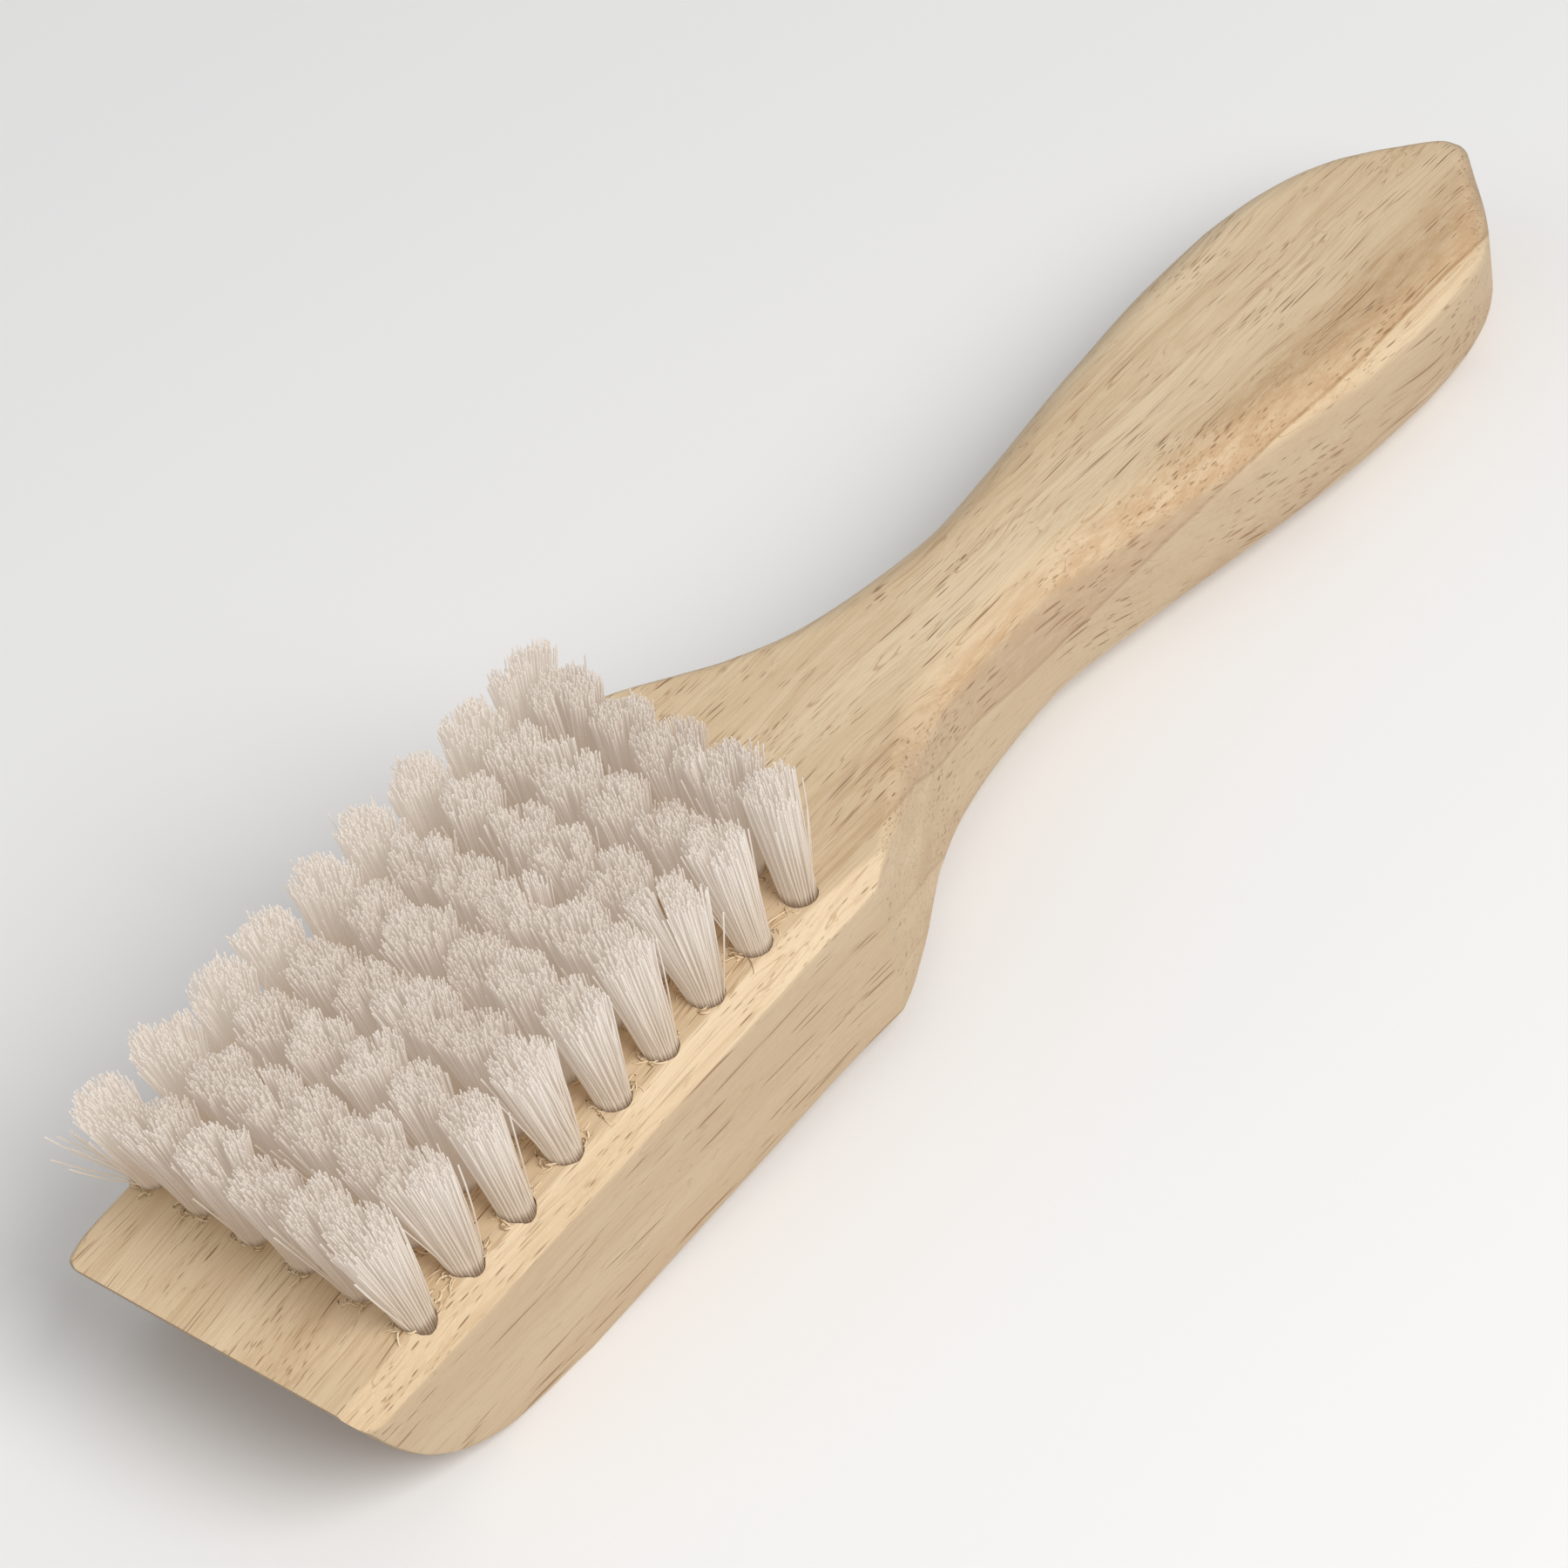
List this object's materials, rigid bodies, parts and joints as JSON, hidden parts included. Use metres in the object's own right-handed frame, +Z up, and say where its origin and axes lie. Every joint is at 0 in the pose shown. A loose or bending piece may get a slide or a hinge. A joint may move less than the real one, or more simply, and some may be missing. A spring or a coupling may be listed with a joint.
{
  "type": "hand brush",
  "caption": "Short-bristled grooming brush: a one-piece wooden block and long paddle handle, with staple-set nylon tufts in rows on its face.",
  "frame": {"origin": "bottom centre of the whole brush's box, on the surface it lies on, back down and bristles up", "axes": "+X from the head's front edge to the end of the handle, +Y across the head, +Z up, the way the bristles point"},
  "size_m": [0.2098, 0.0416, 0.0372],
  "materials": {
    "rubberwood": "sanded bare wood",
    "nylon": "translucent white filament",
    "staple_wire": "flat drawn wire"
  },
  "bodies": {
    "root": {"handle_body": "rubberwood", "tuft_r1_c1": "nylon", "tuft_r1_c2": "nylon", "tuft_r1_c3": "nylon", "tuft_r1_c4": "nylon", "tuft_r1_c5": "nylon", "tuft_r1_c6": "nylon", "tuft_r2_c1": "nylon", "tuft_r2_c2": "nylon", "tuft_r2_c3": "nylon", "tuft_r2_c4": "nylon", "tuft_r2_c5": "nylon", "tuft_r2_c6": "nylon", "tuft_r3_c1": "nylon", "tuft_r3_c2": "nylon", "tuft_r3_c3": "nylon", "tuft_r3_c4": "nylon", "tuft_r3_c5": "nylon", "tuft_r3_c6": "nylon", "tuft_r4_c1": "nylon", "tuft_r4_c2": "nylon", "tuft_r4_c3": "nylon", "tuft_r4_c4": "nylon", "tuft_r4_c5": "nylon", "tuft_r4_c6": "nylon", "tuft_r5_c1": "nylon", "tuft_r5_c2": "nylon", "tuft_r5_c3": "nylon", "tuft_r5_c4": "nylon", "tuft_r5_c5": "nylon", "tuft_r5_c6": "nylon", "tuft_r6_c1": "nylon", "tuft_r6_c2": "nylon", "tuft_r6_c3": "nylon", "tuft_r6_c4": "nylon", "tuft_r6_c5": "nylon", "tuft_r6_c6": "nylon", "tuft_r7_c1": "nylon", "tuft_r7_c2": "nylon", "tuft_r7_c3": "nylon", "tuft_r7_c4": "nylon", "tuft_r7_c5": "nylon", "tuft_r7_c6": "nylon", "tuft_r8_c1": "nylon", "tuft_r8_c2": "nylon", "tuft_r8_c3": "nylon", "tuft_r8_c4": "nylon", "tuft_r8_c5": "nylon", "tuft_r8_c6": "nylon", "tuft_r9_c1": "nylon", "tuft_r9_c2": "nylon", "tuft_r9_c3": "nylon", "tuft_r9_c4": "nylon", "tuft_r9_c5": "nylon", "tuft_r9_c6": "nylon", "anchor_staples": "staple_wire"}
  },
  "joints": []
}
